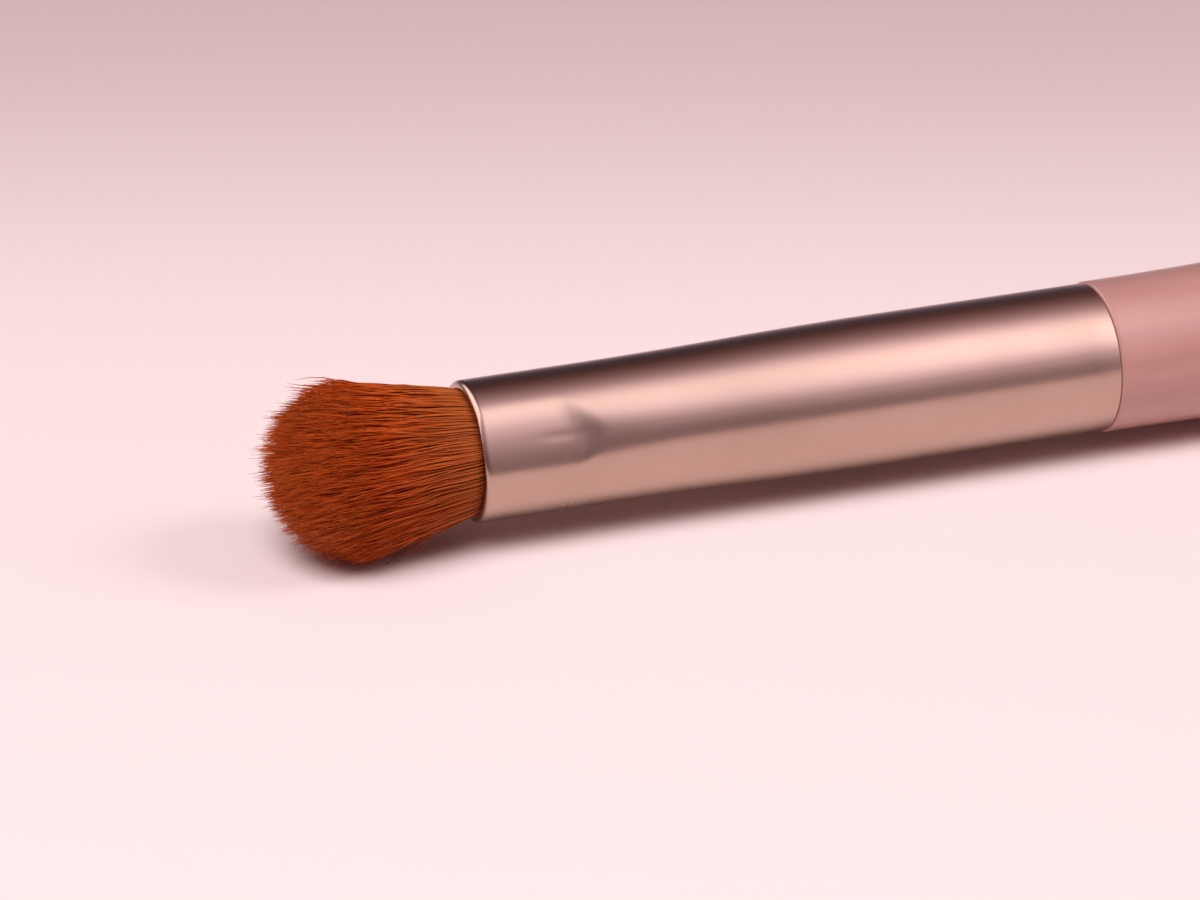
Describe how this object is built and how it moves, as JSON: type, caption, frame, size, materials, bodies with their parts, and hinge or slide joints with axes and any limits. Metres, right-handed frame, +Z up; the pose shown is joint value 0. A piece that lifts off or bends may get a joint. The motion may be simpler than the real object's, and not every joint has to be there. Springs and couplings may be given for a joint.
{
  "type": "eyeshadow brush",
  "caption": "Slim eyeshadow brush with a domed synthetic tuft, a smooth metal ferrule with a rounded lip and pressed grip flats, and a turned, lacquered handle.",
  "frame": {"origin": "on the table below the middle of the brush's length, where the brush lies on its side", "axes": "+X along the brush from the tip of the tuft to the butt of the handle, +Z up from the table, and the flat that faces the viewer on the -Y side"},
  "size_m": [0.168, 0.0084, 0.0085],
  "materials": {
    "filament": "matte synthetic filaments, burnt orange",
    "thread": "waxed thread",
    "resin": "cast resin",
    "ferrule_metal": "polished, rose-gold anodised",
    "glue": "cured glue film",
    "lacquered_wood": "satin pink lacquer"
  },
  "bodies": {
    "root": {"bristle_tuft": "filament", "root_binding": "thread", "root_adhesive": "resin", "ferrule": "ferrule_metal", "tenon_adhesive": "glue", "handle": "lacquered_wood"}
  },
  "joints": []
}
